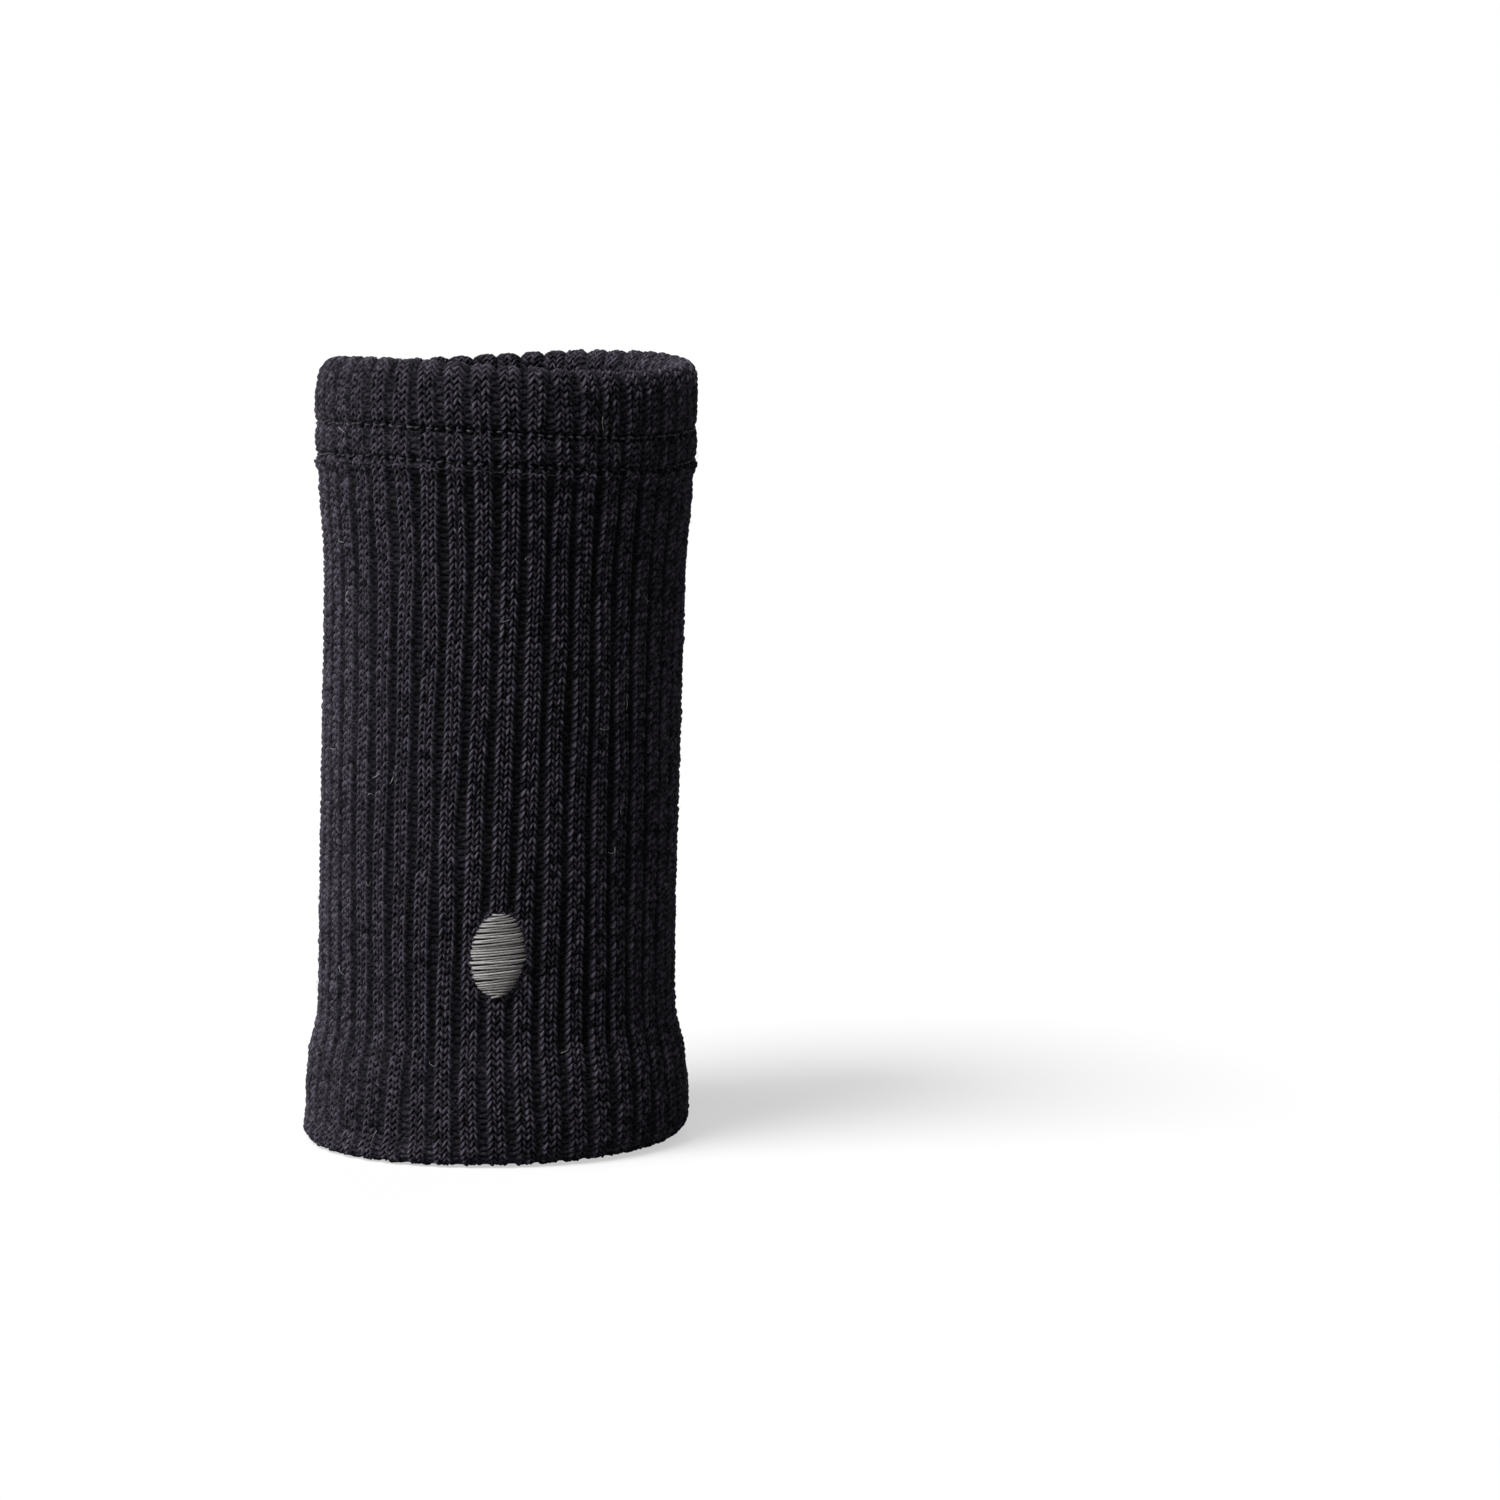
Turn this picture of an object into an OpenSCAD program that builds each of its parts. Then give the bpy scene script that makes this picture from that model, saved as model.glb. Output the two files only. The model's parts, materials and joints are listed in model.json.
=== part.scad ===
// Long rib-knit sweat wristband, standing upright on its cuff.
// Origin: centre of the ring that it stands on. +Z runs up the tube to the hem,
// and the front, with the embroidered oval, faces -Y.
// The knit is drawn as smooth cloth layers, each a round shell of its real size.

/* [Size] */
// Height from the resting edge to the rim of the hem
band_h = 120; // [100:1:150]
// Inside diameter of the hem and the cuff, unstretched
wrist_d = 50; // [44:0.5:60]
// Thickness of one layer of the ribbed knit
wall_t = 2.1; // [1.8:0.05:2.5]
// How far the body's inside stands back from the wrist size
body_slack = 0.7; // [0.65:0.05:1]

/* [Top hem] */
// Depth of the upper row of needle thread below the rim
upper_row_drop = 10; // [8:0.2:14]
// Distance between the two rows of needle thread
row_gap = 4.8; // [4:0.1:6.4]
// How far the turned-in cloth runs past the lower row
facing_past_row = 1.6; // [1.2:0.1:2.5]
// Height over which the hem narrows to the body
hem_taper_h = 2.5; // [2:0.1:5]

/* [Bottom cuff] */
// Height of the cuff at its full width
cuff_h = 13; // [11:0.5:20]
// Height over which the cuff narrows to the body
cuff_taper_h = 5.5; // [4:0.5:8]
// Radius of the cuff's outer bottom edge
cuff_edge_r = 3.4; // [2:0.1:3.6]
// Diameter of one covered elastic yarn
elastic_d = 0.5; // [0.3:0.05:0.6]
// Number of elastic yarns laid round the cuff
elastic_count = 8; // [4:1:9]

/* [Sewing threads] */
// Diameter of the needle thread
thread_d = 0.5; // [0.3:0.05:0.6]
// Thickness of the looper thread's flat cover
looper_t = 0.35; // [0.25:0.05:0.4]
// Diameter of the yarn that links the cuff's inner edge to the tube
linking_d = 0.6; // [0.4:0.05:0.65]

/* [Embroidery] */
// Width of the satin-stitched oval
motif_w = 8.4; // [5:0.2:12]
// Height of the satin-stitched oval
motif_h = 12.6; // [6:0.2:14]
// Height of the oval's centre above the resting edge
motif_z = 32; // [30:0.5:60]
// How far the satin thread stands above the cloth
motif_t = 0.5; // [0.3:0.05:0.8]
// How far the backing reaches past the oval all round
backing_margin = 3; // [1.5:0.25:3.5]
// Thickness of the soft backing
backing_t = 0.35; // [0.2:0.05:0.35]
// Thickness of the bobbin thread on the inside
bobbin_t = 0.25; // [0.15:0.05:0.25]

/* [Hidden] */
$fn = 96;

KNIT_BLACK = [0.13, 0.125, 0.145];
LINING_BLACK = [0.17, 0.165, 0.185];
THREAD_BLACK = [0.27, 0.26, 0.3];
ELASTIC_BLACK = [0.08, 0.08, 0.09];
MOTIF_GREY = [0.55, 0.54, 0.53];
BACKING_GREY = [0.3, 0.3, 0.31];

wrist_r = wrist_d / 2;
body_in_r = wrist_r + body_slack;
body_r = body_in_r + wall_t;
hem_r = wrist_r + 2 * wall_t;
hem_mid_r = wrist_r + wall_t;
cuff_r = hem_r + elastic_d;
cuff_in_edge_r = 0.4;

upper_row_z = band_h - upper_row_drop;
lower_row_z = upper_row_z - row_gap;
hem_taper_top = lower_row_z - 0.8;
hem_facing_z = lower_row_z - facing_past_row;
cuff_facing_z = cuff_h + 0.75 * cuff_taper_h;
groove_half_h = 0.45;
groove_depth = 0.6;
looper_margin = 0.4;

taper_steps = 10;
arc_steps = 12;

// Smooth 0 to 1 ramp
function ease(t) = (1 - cos(180 * t)) / 2;

// Points of a smooth taper between two radii, from one height to another
function taper(r_from, r_to, z_from, z_to) =
    [for (i = [0:taper_steps])
        let (t = i / taper_steps)
        [r_from + (r_to - r_from) * ease(t), z_from + (z_to - z_from) * t]];

// Points of an arc about a centre
function arc(r_mid, z_mid, r, a_from, a_to) =
    [for (i = [0:arc_steps])
        let (a = a_from + (a_to - a_from) * i / arc_steps)
        [r_mid + r * cos(a), z_mid + r * sin(a)]];

// Outline of the outer cloth layer: under the cuff, up the outside, over the
// rim to the middle of its fold, and down the inside
function tube_outline() = concat(
    arc(wrist_r + cuff_in_edge_r, cuff_in_edge_r, cuff_in_edge_r, 180, 270),
    arc(cuff_r - cuff_edge_r, cuff_edge_r, cuff_edge_r, 270, 360),
    taper(cuff_r, body_r, cuff_h, cuff_h + cuff_taper_h),
    taper(body_r, hem_r, hem_taper_top - hem_taper_h, hem_taper_top),
    arc(hem_mid_r, band_h - wall_t, wall_t, 0, 90),
    taper(hem_mid_r, body_in_r, hem_taper_top, hem_taper_top - hem_taper_h),
    taper(body_in_r, cuff_r - wall_t, cuff_h + cuff_taper_h, cuff_h),
    [[cuff_r - wall_t, wall_t], [wrist_r, wall_t]]);

// Round shell between two radii and two heights
module ring(r_in, r_out, z_low, z_high) {
    translate([0, 0, z_low])
        difference() {
            cylinder(r = r_out, h = z_high - z_low);
            translate([0, 0, -1])
                cylinder(r = r_in, h = z_high - z_low + 2);
        }
}

// Ring of round section, such as one turn of thread
module thread_ring(r_mid, z_mid, d) {
    rotate_extrude()
        translate([r_mid, z_mid])
            circle(d = d, $fn = 24);
}

// The outer layer before its needle rows are drawn in
module tube_body() {
    rotate_extrude()
        polygon(tube_outline());
}

// Groove that a row of stitching pulls into the hem
module row_groove(z) {
    ring(hem_r - groove_depth, hem_r + 1, z - groove_half_h, z + groove_half_h);
}

module knit_tube() {
    color(KNIT_BLACK)
        difference() {
            tube_body();
            row_groove(upper_row_z);
            row_groove(lower_row_z);
        }
}

// Turned-in cloth of the hem, from the middle of the rim's fold downwards
module top_hem_facing() {
    color(LINING_BLACK)
        difference() {
            rotate_extrude()
                polygon(concat(
                    [[wrist_r, hem_facing_z], [hem_mid_r, hem_facing_z]],
                    arc(hem_mid_r, band_h - wall_t, wall_t, 90, 180)));
            tube_body();
            ring(0.5 * wrist_r, wrist_r + looper_t,
                 lower_row_z - looper_margin, upper_row_z + looper_margin);
        }
}

module needle_row(z) {
    color(THREAD_BLACK)
        thread_ring(hem_r - groove_depth + thread_d / 2, z, thread_d);
}

module hem_needle_thread_upper() {
    needle_row(upper_row_z);
}

module hem_needle_thread_lower() {
    needle_row(lower_row_z);
}

// Flat zigzag cover on the inside of the hem, drawn as a thin ring
module hem_looper_thread() {
    color(THREAD_BLACK)
        ring(wrist_r + 0.05, wrist_r + looper_t,
             lower_row_z - looper_margin, upper_row_z + looper_margin);
}

// Inner layer of the double cuff
module bottom_cuff_facing() {
    color(LINING_BLACK)
        difference() {
            ring(wrist_r, wrist_r + wall_t, wall_t, cuff_facing_z);
            tube_body();
        }
}

// Covered elastic yarns, lying between the two layers of the cuff
module cuff_elastic_yarns() {
    color(ELASTIC_BLACK)
        for (i = [0:elastic_count - 1])
            thread_ring(wrist_r + wall_t + elastic_d / 2,
                        wall_t + (i + 1) * (cuff_h - wall_t) / (elastic_count + 1), elastic_d);
}

// Course of yarn that joins the top edge of the cuff's inner layer to the tube
module cuff_linking_yarn() {
    color(THREAD_BLACK)
        thread_ring(wrist_r + 0.05 + linking_d / 2, cuff_facing_z + linking_d / 2, linking_d);
}

// Upright oval, seen from the front
module oval(w, h) {
    polygon([for (a = [0:10:350]) [w / 2 * cos(a), h / 2 * sin(a)]]);
}

// Oval patch curved to the tube at the front
module front_patch(r_in, r_out, w, h) {
    intersection() {
        ring(r_in, r_out, motif_z - h, motif_z + h);
        translate([0, 0, motif_z])
            rotate([90, 0, 0])
                linear_extrude(height = body_r + 5)
                    oval(w, h);
    }
}

module motif_satin_thread() {
    color(MOTIF_GREY)
        front_patch(body_r, body_r + motif_t, motif_w, motif_h);
}

module motif_backing() {
    color(BACKING_GREY)
        front_patch(body_in_r - backing_t, body_in_r,
                    motif_w + 2 * backing_margin, motif_h + 2 * backing_margin);
}

module motif_bobbin_thread() {
    color(THREAD_BLACK)
        front_patch(body_in_r - backing_t - bobbin_t, body_in_r - backing_t,
                    motif_w - 1, motif_h - 1);
}

knit_tube();
top_hem_facing();
hem_needle_thread_upper();
hem_needle_thread_lower();
hem_looper_thread();
bottom_cuff_facing();
cuff_elastic_yarns();
cuff_linking_yarn();
motif_satin_thread();
motif_bobbin_thread();
motif_backing();
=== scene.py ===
"""Looks for a long rib-knit sweat wristband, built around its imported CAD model.

Lengths are millimetres and angles are degrees unless a name says otherwise; meshes become metres as
they are made. A point of the band is (angle, radius, height), where the angle is in radians, 0 at the
front, which faces -Y, and grows towards +X.
"""

import json
import math

import bpy
import numpy as np
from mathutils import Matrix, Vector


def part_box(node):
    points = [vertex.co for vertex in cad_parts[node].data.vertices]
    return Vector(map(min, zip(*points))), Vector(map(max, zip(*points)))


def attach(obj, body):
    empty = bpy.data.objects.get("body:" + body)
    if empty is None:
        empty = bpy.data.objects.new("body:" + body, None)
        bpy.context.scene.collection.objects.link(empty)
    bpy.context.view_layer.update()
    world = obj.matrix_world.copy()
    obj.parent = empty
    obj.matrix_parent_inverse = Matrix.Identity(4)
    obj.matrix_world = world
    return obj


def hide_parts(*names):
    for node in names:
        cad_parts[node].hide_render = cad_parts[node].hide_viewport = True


MM = 0.001

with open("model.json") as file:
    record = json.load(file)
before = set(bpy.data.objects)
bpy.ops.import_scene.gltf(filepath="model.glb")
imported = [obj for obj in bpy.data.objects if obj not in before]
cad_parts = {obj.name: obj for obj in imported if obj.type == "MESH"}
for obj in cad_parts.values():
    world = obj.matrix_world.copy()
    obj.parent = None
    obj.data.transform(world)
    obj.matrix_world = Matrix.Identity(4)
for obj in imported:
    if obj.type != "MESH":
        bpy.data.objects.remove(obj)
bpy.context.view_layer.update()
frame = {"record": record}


def box_mm(node):
    """Lowest and highest corner of a CAD node, in millimetres."""
    return [np.array(corner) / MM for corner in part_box(node)]


def middle_z(low, high):
    """Height halfway between two corners."""
    return (low[2] + high[2]) / 2


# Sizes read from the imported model
TUBE_HIGH = box_mm("knit_tube")[1]
RIM_Z = TUBE_HIGH[2]
CUFF_R = TUBE_HIGH[0]
WRIST_R = frame["record"]["mounts"][0]["dims"]["r_mm"]
HEM_MID_R = box_mm("top_hem_facing")[1][0]
LAYER = HEM_MID_R - WRIST_R
HEM_R = WRIST_R + 2 * LAYER
HEM_FACING_Z = box_mm("top_hem_facing")[0][2]
CUFF_FACING_Z = box_mm("bottom_cuff_facing")[1][2]
BACKING_LOW, BACKING_HIGH = box_mm("motif_backing")
BODY_IN_R = -BACKING_LOW[1]
BODY_R = BODY_IN_R + LAYER
MOTIF_LOW, MOTIF_HIGH = box_mm("motif_satin_thread")
BOBBIN_LOW, BOBBIN_HIGH = box_mm("motif_bobbin_thread")
LOOPER_LOW, LOOPER_HIGH = box_mm("hem_looper_thread")
LINKING_LOW, LINKING_HIGH = box_mm("cuff_linking_yarn")
ELASTIC_LOW, ELASTIC_HIGH = box_mm("cuff_elastic_yarns")
LOWER_ROW_Z = middle_z(*box_mm("hem_needle_thread_lower"))
UPPER_ROW_Z = middle_z(*box_mm("hem_needle_thread_upper"))
ROW_Z = (LOWER_ROW_Z, UPPER_ROW_Z)

# A rib's outline. Widths are shares of the rib's pitch, or of half a wale where they say so
RIBS = 44
RIDGE_EDGE = 0.31  # half the raised part of a rib
RIDGE_COLUMNS = 9  # columns of points from a rib's middle to its edge
TROUGH_COLUMNS = 5  # and from there to the middle of the trough
RIDGE_FADE = 0.08  # how far past a rib's edge its stitches fade out
WALE_MIDDLE = RIDGE_EDGE / 2
WALE_GROOVE = 0.42  # depth of the groove between a rib's two wales
WALE_GROOVE_W = 0.3  # in half wales
LEG_SPLIT = 0.4  # depth of the split between the two legs of a wale
LEG_SPLIT_W = 0.28  # in half wales
TROUGH_DEPTH = 0.66
TROUGH_STARTS = 0.24
TROUGH_FLOOR = 0.42
RIM_SCALLOP = 0.75  # how far the troughs lie below the ribs where they turn over the rim

# Share of a rib's relief that is left in each place
CUFF_RIBS = 0.8
FOOT_RIBS = 0.5
HEM_RIBS = 0.75
RIM_RIBS = 0.2

# Stitches
COURSE = 1.04
ROWS_PER_COURSE = 5
LEGS = 4  # legs across a rib, two for each wale
CHEVRON = 0.75  # how far a stitch's legs slope down from its middle, in courses
PURL_SHIFT = 0.4  # how far the troughs' stitches lie past the ribs' stitches, in courses
LEG_RELIEF = 0.54
PURL_RELIEF = 0.3
MESH_ROUGHNESS = 0.012

# How the stitches and ribs vary
STITCH_JITTER = 0.07  # in height
STITCH_SIZE = 0.15  # as a share of the legs' relief
STITCH_SLIP = 0.07  # in courses
STITCH_SWAY = 0.16  # how far whole patches of stitches slide, in courses
RIB_SLIP = 0.35  # how far a rib's stitches slide past its neighbours', in courses
RIB_WANDER = 0.22
RIBS_APART = 2.4  # how far neighbouring ribs lie apart in the noise that varies them
RIB_UNEVENNESS = 0.12  # as a share of the rib's relief

# The cloth's tone, from 0, black, to 1. The shades are the share of it that is lost; the gap, trough and
# pit shades are painted shade
FACE_TONE = 0.64
BACK_TONE = 0.6
BACK_SHADE_DEPTH = 0.9  # painted shade: the back darkens with depth, and is black where it is this deep
LIT_LEG_HIGHLIGHT = 0.2  # painted highlight and shade: the legs that rise to the right face the light from the left and are painted this much brighter, the others this much darker
STITCH_TONE_JITTER = 0.42
RIDGE_FLECK = 0.42
TROUGH_FLECK = 0.7
PURL_GAP_SHADE = 0.7
TROUGH_SHADE = 0.88
TROUGH_LEAST_TONE = 0.13
PIT_SHADE = 0.8
DOUBLED_SHADE = 0.12

# Where the cloth changes shape
CUFF_FULL_Z = 7.0
CUFF_TOP_Z = 12.0
CUFF_TAPER_TOP_Z = 20.0
CUFF_DRAW_IN = 0.5  # how far the cuff has drawn in where its taper begins
CUFF_EDGE_R = 3.4
INNER_EDGE_R = 0.4
HEM_TAPER_TOP_Z = LOWER_ROW_Z - 0.8
HEM_TAPER_H = 2.5
BODY_TOP_Z = HEM_TAPER_TOP_Z - HEM_TAPER_H
HEM_EASE_H = 13.0  # height below the hem's step over which the body goes on narrowing
HEM_EASE = 0.75
RIM_RISE = 3.2
SEAM_Z = RIM_Z - 4.0  # where the tube's cloth passes into the turned-in hem
LAYER_GAP = 0.1  # clearance on each side of the line where two layers of cloth meet
ROW_NOTCH = 0.5
ROW_NOTCH_REACH = 0.8

# How the band stands
LEAN = 2.0  # towards the band's right
ANGLE_WANDER = 0.026  # in radians
RADIUS_WANDER = 0.12
BODY_SLIM = 0.2
SLIM_BEGINS = (16, 26)  # heights over which the slimness sets in
SLIM_ENDS = (80, 100)
FOOT_SPREAD = 2.2
FOOT_SPREAD_AT = math.radians(-55)  # towards the band's left
FOOT_SPREAD_W = 0.75  # in radians
FOOT_H = 4.5
RIM_DRAW_IN = 1.0  # how far the rim turns in on the band's left
RIM_DRAW_IN_H = 6.5  # height of the part that turns in
RIM_DIP = 0.35  # how far the rim dips all round
RIM_DIP_RIGHT = 0.26  # how much more it dips on the right, and less on the left
RIM_DIP_BACK = 0.2  # how much more it dips at the back, and less at the front
RIM_SADDLE = 0.85  # how much it rises and dips twice on the way round
DIP_BEGINS = (0.5, 0.93)  # shares of the height over which the dip sets in

# Threads
NEEDLE_STITCH = 1.55
NEEDLE_COUNT = round(2 * math.pi * HEM_R / NEEDLE_STITCH)
NEEDLE_PIT = 0.35
NEEDLE_PIT_H = 0.45
NEEDLE_DASH = 0.52  # length of a dash, as a share of a stitch
NEEDLE_THREAD_R = 0.18
LOOPER_THREAD_R = 0.13
LINKING_THREAD_R = 0.17
LINKING_TURN_R = 0.13
SATIN_PITCH = 0.38
SATIN_THREAD_R = 0.17
BOBBIN_PITCH = 0.4
BOBBIN_THREAD_R = 0.11
THREAD_DIVE = 0.9  # how far a thread's ends go into the cloth
MOTIF_PRESS = 0.3
MOTIF_PRESS_MARGIN = 0.6
PRESSED_RIBS = 0.75  # share of the ribs' relief that is lost under the oval
PRESSED_STITCHES = 0.5
BACKING_T = 0.3
BACKING_TRIM = 0.985  # the patch's size as a share of its CAD box
ELASTIC_COUNT = 8
FIBRE_COUNT = 1500
LINT_COUNT = 44

# The suns: name, azimuth, elevation, strength and the angle that the sun fills
SUNS = (("key", 56, 55, 4.5, 30),
        ("side", 88, 10, 3.1, 35),
        ("front", 30, 55, 0.95, 50),
        ("back", -160, 25, 1.2, 60))
WORLD_FILL = 0.02
FLOOR_R = 4.0  # in metres
FLOOR_GREY = 0.28
FLOOR_LIFT = 0.54
CAMERA_AT = (0, -0.771, 0.1534)  # in metres
CAMERA_DOWN = 6.95  # how far the camera looks down
CAMERA_RIGHT = 2.91  # how far it looks past the band's right
CAMERA_LENS = 121
CAMERA_SENSOR = 36

# What the yarn of the knit and of its lining has in common
YARN_DARK = (0.001, 0.001, 0.0015)
YARN = {"roughness": 0.95, "grain": 1700, "bump": (0.65, 0.15), "contrast": 0.75, "sheen": 0.015,
        "specular": 0.05}


# ---------------------------------------------------------------- helpers

def smooth_step(value, low, high):
    """0 below low, 1 above high, and smooth between them."""
    t = np.clip((value - low) / (high - low), 0, 1)
    return t * t * (3 - 2 * t)


def soft_noise(angle, height, turns, rise, seed):
    """Smooth noise of about -1 to 1 that closes round the band. turns and rise limit its frequencies."""
    random = np.random.default_rng(seed)
    total = 0.0
    for _ in range(7):
        around = random.integers(-turns, turns + 1)
        total = total + np.sin(around * angle + random.uniform(0.2, 1) * rise * height
                               + random.uniform(0, 2 * math.pi))
    return total / 4


def to_xyz(angle, radius, height):
    """Band coordinates to millimetres in the row frame."""
    angle, radius, height = np.broadcast_arrays(angle, radius, height)
    return np.stack([radius * np.sin(angle), -radius * np.cos(angle), height], axis=-1)


def settle(points):
    """The whole band's slack: ribs wander, the rim dips in, the foot spreads and the tube leans."""
    x, y, z = points[..., 0], points[..., 1], points[..., 2]
    angle = np.arctan2(x, -y)
    radius = np.hypot(x, y)
    share = z / RIM_Z
    foot = np.exp(-((angle - FOOT_SPREAD_AT) / FOOT_SPREAD_W) ** 2) * (1 - smooth_step(z, 0, FOOT_H))
    waist = smooth_step(z, *SLIM_BEGINS) * (1 - smooth_step(z, *SLIM_ENDS))
    rim_left = smooth_step(z, RIM_Z - RIM_DRAW_IN_H, RIM_Z + 1) * (0.5 - 0.5 * np.sin(angle))
    dip = RIM_DIP + RIM_DIP_RIGHT * np.sin(angle) - RIM_DIP_BACK * np.cos(angle)
    dip = (dip + RIM_SADDLE * np.sin(2 * angle)) * smooth_step(share, *DIP_BEGINS)
    wander = ANGLE_WANDER * soft_noise(angle, share, 3, 7.0, 11) * smooth_step(share, 0, 0.15)
    uneven = RADIUS_WANDER * soft_noise(angle, share, 3, 9.0, 12) * smooth_step(share, 0, 0.1)
    radius = radius + FOOT_SPREAD * foot + uneven - BODY_SLIM * waist - RIM_DRAW_IN * rim_left
    settled = to_xyz(angle + wander, radius, z - dip)
    settled[..., 0] += LEAN * smooth_step(share, 0.1, 1)
    settled[..., 2] = np.maximum(settled[..., 2], 0)
    return settled


def make_mesh(name, points, face_groups, tone=None):
    """A smooth-shaded object from points in millimetres and arrays of faces, one for each face size."""
    mesh = bpy.data.meshes.new(name)
    points = settle(points.reshape(-1, 3)) * MM
    mesh.vertices.add(len(points))
    mesh.vertices.foreach_set("co", points.astype(np.float32).ravel())
    sizes = np.concatenate([np.full(len(faces), faces.shape[1]) for faces in face_groups])
    mesh.loops.add(int(sizes.sum()))
    corners = np.concatenate([faces.ravel() for faces in face_groups])
    mesh.loops.foreach_set("vertex_index", corners.astype(np.int32))
    mesh.polygons.add(len(sizes))
    mesh.polygons.foreach_set("loop_start", (np.cumsum(sizes) - sizes).astype(np.int32))
    mesh.polygons.foreach_set("use_smooth", np.ones(len(sizes), bool))
    mesh.update(calc_edges=True)
    if tone is not None:
        attribute = mesh.attributes.new("tone", "FLOAT", "POINT")
        attribute.data.foreach_set("value", tone.astype(np.float32).ravel())
    thing = bpy.data.objects.new(name, mesh)
    bpy.context.scene.collection.objects.link(thing)
    return thing


def grid_faces(rows, columns, closed_rows):
    """Quads of a grid whose columns run round and close, and whose rows may close too."""
    last = rows if closed_rows else rows - 1
    row, column = np.meshgrid(np.arange(last), np.arange(columns), indexing="ij")
    after, beside = (row + 1) % rows, (column + 1) % columns
    return np.stack([row * columns + column, row * columns + beside,
                     after * columns + beside, after * columns + column], axis=-1).reshape(-1, 4)


def finish_piece(thing, node, material):
    """Puts a piece in its CAD node's place."""
    thing.data.materials.append(material)
    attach(thing, "root")
    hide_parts(node)
    return thing


# ---------------------------------------------------------------- cloth

def straight(start, end, step=0.1):
    """Points of (radius, height) along a line."""
    count = max(2, math.ceil(math.dist(start, end) / step))
    return np.linspace(start, end, count)


def curved(radius, height, size, start, end, rise=None):
    """Points of (radius, height) along an arc about a centre, which may rise more than it is wide."""
    turn = np.radians(np.linspace(start, end, max(6, round(abs(end - start) * size * 0.2))))
    return np.stack([radius + size * np.cos(turn), height + (rise or size) * np.sin(turn)], axis=1)


def eased(start, end):
    """Points of (radius, height) that ease from one radius to another."""
    t = np.linspace(0, 1, max(8, round(abs(end[1] - start[1]) * 10)))
    ease = (1 - np.cos(math.pi * t)) / 2
    return np.stack([start[0] + (end[0] - start[0]) * ease, start[1] + (end[1] - start[1]) * t], axis=1)


class Path:
    """A line of (radius, height) points that can be sampled along its length."""

    STEP = 0.05
    SMOOTHING = 6  # samples on each side that its outward direction is averaged over

    def __init__(self, *runs):
        line = np.concatenate(runs)
        keep = np.concatenate([[True], np.linalg.norm(np.diff(line, axis=0), axis=1) > 1e-6])
        line = line[keep]
        along = np.concatenate([[0], np.cumsum(np.linalg.norm(np.diff(line, axis=0), axis=1))])
        self.length = along[-1]
        self.along = np.linspace(0, self.length, math.ceil(self.length / self.STEP) + 1)
        self.radius, self.height = (np.interp(self.along, along, line[:, k]) for k in range(2))
        window = np.hanning(2 * self.SMOOTHING + 3)[1:-1]
        out_r, out_z = (np.convolve(np.pad(slope, self.SMOOTHING, mode="edge"), window, "valid")
                        for slope in (np.gradient(self.height), -np.gradient(self.radius)))
        size = np.hypot(out_r, out_z)
        self.out_r, self.out_z = out_r / size, out_z / size

    def at(self, s):
        """Radius, height and the outward direction at lengths s along the line."""
        return [np.interp(s, self.along, v) for v in (self.radius, self.height, self.out_r, self.out_z)]


def rib_columns():
    """Rib number, place across the rib (-0.5 to 0.5) and angle of each column of cloth points."""
    half = np.concatenate([np.linspace(0, RIDGE_EDGE, RIDGE_COLUMNS),
                           np.linspace(RIDGE_EDGE, 0.5, TROUGH_COLUMNS)[1:]])
    across = np.concatenate([-half[-2:0:-1], half])
    rib = np.repeat(np.arange(RIBS), len(across))
    place = np.tile(across, RIBS)
    return rib, place, (rib + place) * 2 * math.pi / RIBS


def ridge_profile(place):
    """Height of the rib across its pitch: 0 on top of the legs, and negative elsewhere."""
    across = np.abs(place)
    wale = (across - WALE_MIDDLE) / WALE_MIDDLE
    groove = -WALE_GROOVE * np.exp(-((wale + 1) / WALE_GROOVE_W) ** 2)
    trough = -TROUGH_DEPTH * smooth_step(across, TROUGH_STARTS, TROUGH_FLOOR)
    split = -LEG_SPLIT * np.exp(-(wale / LEG_SPLIT_W) ** 2)
    return groove + trough + split


def bead(phase):
    """Outline of a stitch along its length: 0 on its middle and -1 in the gap before the next one."""
    return np.sqrt(1 - (2 * phase - 1) ** 2) - 1


def ribs(place, height):
    """Relief of the ribs: less on the doubled hem and cuff, and rounded into scallops at the rim."""
    cuff = CUFF_RIBS + (1 - CUFF_RIBS) * smooth_step(height, CUFF_TOP_Z - 1, CUFF_TAPER_TOP_Z)
    foot = FOOT_RIBS + (1 - FOOT_RIBS) * smooth_step(height, 0, 4)
    hem = 1 - (1 - HEM_RIBS) * smooth_step(height, BODY_TOP_Z, HEM_TAPER_TOP_Z)
    rim = smooth_step(height, RIM_Z - RIM_RISE, RIM_Z - 1)
    scallop = RIM_SCALLOP * (np.sqrt(1 - np.minimum(4 * place ** 2, 1)) - 1)
    return ridge_profile(place) * cuff * foot * hem * (1 - (1 - RIM_RIBS) * rim) + scallop * rim


def doubled(height):
    """1 on the hem and the cuff, where the cloth is doubled, and 0 on the body."""
    cuff = 1 - smooth_step(height, CUFF_TOP_Z, CUFF_TAPER_TOP_Z)
    return cuff + smooth_step(height, BODY_TOP_Z, HEM_TAPER_TOP_Z)


def needle_pits(angle, height):
    """Where the two rows of stitching dimple the hem: 1 where the needle thread dives into the cloth."""
    dive = 0.5 - 0.5 * np.cos(NEEDLE_COUNT * angle)
    return dive * sum(np.exp(-((height - row_z) / NEEDLE_PIT_H) ** 2) for row_z in ROW_Z)


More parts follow.
